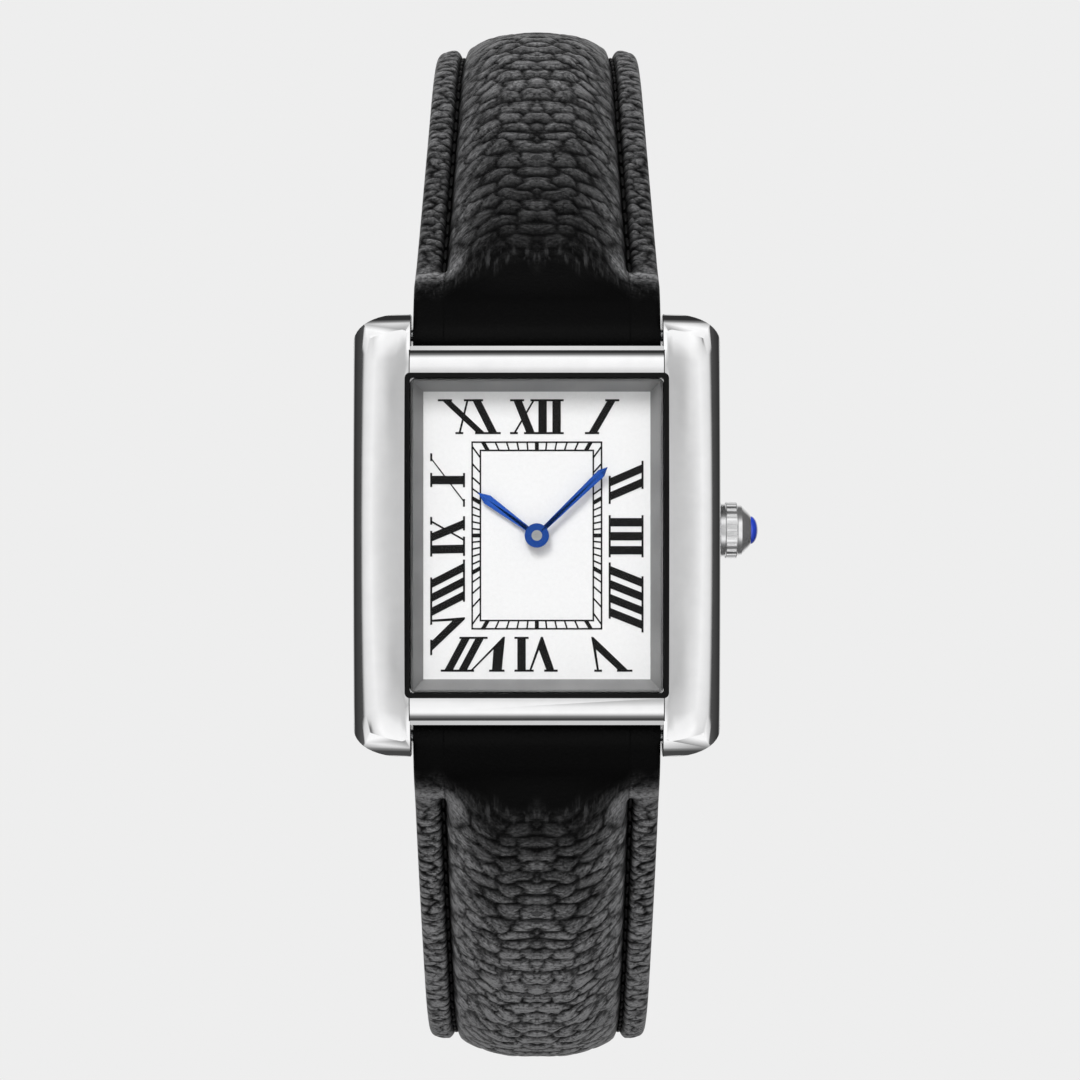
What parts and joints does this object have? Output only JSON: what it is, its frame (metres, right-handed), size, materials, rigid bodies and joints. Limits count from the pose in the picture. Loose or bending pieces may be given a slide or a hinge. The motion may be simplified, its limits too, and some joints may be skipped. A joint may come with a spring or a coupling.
{
  "type": "wristwatch",
  "caption": "Square steel wristwatch with a white numeral dial, blue hands, a stone-set crown and a padded black leather strap, shown unfastened.",
  "frame": {"origin": "centre of the case back's outer face, where the watch rests on the wrist", "axes": "-Y out of the dial towards the viewer, +Y out of the case back, +Z from 6 to 12 o'clock, +X from 9 to 3 o'clock and out through the crown"},
  "size_m": [0.026, 0.0727, 0.0755],
  "materials": {
    "case_steel": "satin front faces, polished edges",
    "back_steel": "fine brushed",
    "screw_steel": "polished slotted heads",
    "glass": "clear flat crystal",
    "seal_black": "matte black",
    "ring_grey": "satin grey",
    "dial_white": "fine grained white lacquer",
    "ink_black": "printed ink",
    "blued_steel": "polished blued steel",
    "crown_steel": "polished",
    "blue_stone": "polished synthetic stone",
    "work_steel": "grained nickel",
    "gear_brass": "gilt",
    "plate_brass": "gilt, matte",
    "cell_steel": "satin",
    "board_green": "solder mask",
    "chip_black": "moulded",
    "coil_copper": "fine copper wire",
    "holder_plastic": "moulded",
    "bar_steel": "turned",
    "strap_leather": "padded, scale grained, semi-gloss",
    "strap_lining": "smooth matte lining",
    "pad_felt": "pressed felt",
    "keeper_leather": "scale grained, semi-gloss",
    "buckle_steel": "polished"
  },
  "bodies": {
    "case_body": {"case": "case_steel", "case_back": "back_steel", "case_back_screws": "screw_steel", "movement_screws": "screw_steel", "crystal": "glass", "crystal_gasket": "seal_black", "case_back_gasket": "seal_black", "rehaut": "ring_grey", "dial": "dial_white", "dial_numerals": "ink_black", "minute_track": "ink_black", "crown_tube": "crown_steel", "train_bridge": "work_steel", "stator": "work_steel", "battery_clip": "gear_brass", "main_plate": "plate_brass", "battery": "cell_steel", "quartz_can": "cell_steel", "circuit_board": "board_green", "circuit_chip": "chip_black", "coil": "coil_copper", "movement_holder": "holder_plastic", "upper_spring_bar": "bar_steel", "lower_spring_bar": "bar_steel"},
    "minute_works": {"minute_hand": "blued_steel", "cannon_pinion": "work_steel", "centre_wheel": "gear_brass"},
    "hour_works": {"hour_hand": "blued_steel", "hour_wheel": "gear_brass"},
    "minute_wheel": {"minute_wheel": "gear_brass"},
    "setting_wheel": {"setting_wheel": "gear_brass"},
    "intermediate_wheel": {"intermediate_wheel": "gear_brass"},
    "rotor": {"rotor": "work_steel"},
    "crown_seal": {"crown_gasket": "seal_black"},
    "crown_works": {"crown": "crown_steel", "crown_cabochon": "blue_stone", "stem": "crown_steel"},
    "sliding_pinion": {"sliding_pinion": "work_steel"},
    "setting_lever": {"setting_lever": "work_steel"},
    "yoke": {"yoke": "work_steel"},
    "upper_pin_left": {"upper_bar_pin_left": "bar_steel"},
    "upper_pin_right": {"upper_bar_pin_right": "bar_steel"},
    "lower_pin_left": {"lower_bar_pin_left": "bar_steel"},
    "lower_pin_right": {"lower_bar_pin_right": "bar_steel"},
    "upper_strap": {"upper_strap_leather": "strap_leather", "upper_strap_filler": "pad_felt", "upper_strap_lining": "strap_lining", "fixed_keeper": "keeper_leather"},
    "lower_strap": {"lower_strap_leather": "strap_leather", "lower_strap_filler": "pad_felt", "lower_strap_lining": "strap_lining"},
    "free_keeper": {"free_keeper": "keeper_leather"},
    "buckle": {"buckle_frame": "buckle_steel", "buckle_bar": "bar_steel"},
    "tongue": {"buckle_tongue": "buckle_steel"}
  },
  "joints": [
    {"name": "minute_hand_turn", "type": "hinge", "parent": "case_body", "child": "minute_works", "pos_m": [0, -0.0045, 0], "axis": [0, 1, 0], "continuous": true},
    {"name": "hour_hand_turn", "type": "hinge", "parent": "case_body", "child": "hour_works", "pos_m": [0, -0.0042, 0], "axis": [0, 1, 0], "continuous": true},
    {"name": "minute_wheel_turn", "type": "hinge", "parent": "case_body", "child": "minute_wheel", "pos_m": [0.00131, -0.003, -0.00092], "axis": [0, 1, 0], "continuous": true},
    {"name": "setting_wheel_turn", "type": "hinge", "parent": "case_body", "child": "setting_wheel", "pos_m": [0.00264, -0.003, 0.00035], "axis": [0, 1, 0], "continuous": true},
    {"name": "intermediate_wheel_turn", "type": "hinge", "parent": "case_body", "child": "intermediate_wheel", "pos_m": [0, -0.003, 0.00216], "axis": [0, 1, 0], "continuous": true},
    {"name": "rotor_turn", "type": "hinge", "parent": "case_body", "child": "rotor", "pos_m": [-0.00085, -0.003, 0.00363], "axis": [0, 1, 0], "continuous": true},
    {"name": "crown_pull", "type": "slide", "parent": "case_body", "child": "crown_seal", "axis": [1, 0, 0], "range_m": [0, 0.0008]},
    {"name": "crown_turn", "type": "hinge", "parent": "crown_seal", "child": "crown_works", "pos_m": [0.0118, -0.0023, 0.00035], "axis": [1, 0, 0], "continuous": true},
    {"name": "pinion_shift", "type": "slide", "parent": "crown_works", "child": "sliding_pinion", "axis": [1, 0, 0], "range_m": [-0.00131, 0]},
    {"name": "setting_lever_swing", "type": "hinge", "parent": "case_body", "child": "setting_lever", "pos_m": [0.0051, -0.003, 0.0019], "axis": [0, -1, 0], "range_deg": [0, 29]},
    {"name": "yoke_swing", "type": "hinge", "parent": "case_body", "child": "yoke", "pos_m": [0.00375, -0.003, 0.0022], "axis": [0, 1, 0], "range_deg": [0, 15.5]},
    {"name": "upper_strap_swing", "type": "hinge", "parent": "case_body", "child": "upper_strap", "pos_m": [0, -0.002, 0.01295], "axis": [1, 0, 0], "range_deg": [0, 50]},
    {"name": "lower_strap_swing", "type": "hinge", "parent": "case_body", "child": "lower_strap", "pos_m": [0, -0.002, -0.01295], "axis": [-1, 0, 0], "range_deg": [0, 50]},
    {"name": "free_keeper_slide", "type": "hinge", "parent": "upper_strap", "child": "free_keeper", "pos_m": [0, 0.03301, 0.00518], "axis": [-1, 0, 0], "range_deg": [-11.4, 5.6]},
    {"name": "buckle_swing", "type": "hinge", "parent": "upper_strap", "child": "buckle", "pos_m": [0, 0.0585, 0.02003], "axis": [1, 0, 0], "range_deg": [-30, 30]},
    {"name": "tongue_swing", "type": "hinge", "parent": "buckle", "child": "tongue", "pos_m": [0, 0.0585, 0.02003], "axis": [1, 0, 0], "range_deg": [0, 100]},
    {"name": "upper_pin_left_press", "type": "slide", "parent": "case_body", "child": "upper_pin_left", "axis": [1, 0, 0], "range_m": [0, 0.0009], "stiffness_N_per_m": 600, "springref_m": -0.0005},
    {"name": "upper_pin_right_press", "type": "slide", "parent": "case_body", "child": "upper_pin_right", "axis": [-1, 0, 0], "range_m": [0, 0.0009], "stiffness_N_per_m": 600, "springref_m": -0.0005},
    {"name": "lower_pin_left_press", "type": "slide", "parent": "case_body", "child": "lower_pin_left", "axis": [1, 0, 0], "range_m": [0, 0.0009], "stiffness_N_per_m": 600, "springref_m": -0.0005},
    {"name": "lower_pin_right_press", "type": "slide", "parent": "case_body", "child": "lower_pin_right", "axis": [-1, 0, 0], "range_m": [0, 0.0009], "stiffness_N_per_m": 600, "springref_m": -0.0005}
  ],
  "couplings": [
    {"joint": "hour_hand_turn", "follows": "minute_hand_turn", "ratio": 0.083333},
    {"joint": "minute_wheel_turn", "follows": "minute_hand_turn", "ratio": -0.33333},
    {"joint": "setting_wheel_turn", "follows": "minute_hand_turn", "ratio": 0.625},
    {"joint": "intermediate_wheel_turn", "follows": "minute_hand_turn", "ratio": -8},
    {"joint": "rotor_turn", "follows": "minute_hand_turn", "ratio": 60},
    {"joint": "pinion_shift", "follows": "crown_pull", "ratio": -1.625},
    {"joint": "setting_lever_swing", "follows": "crown_pull", "rad_per_m": 631.39},
    {"joint": "yoke_swing", "follows": "crown_pull", "rad_per_m": 335.8}
  ]
}
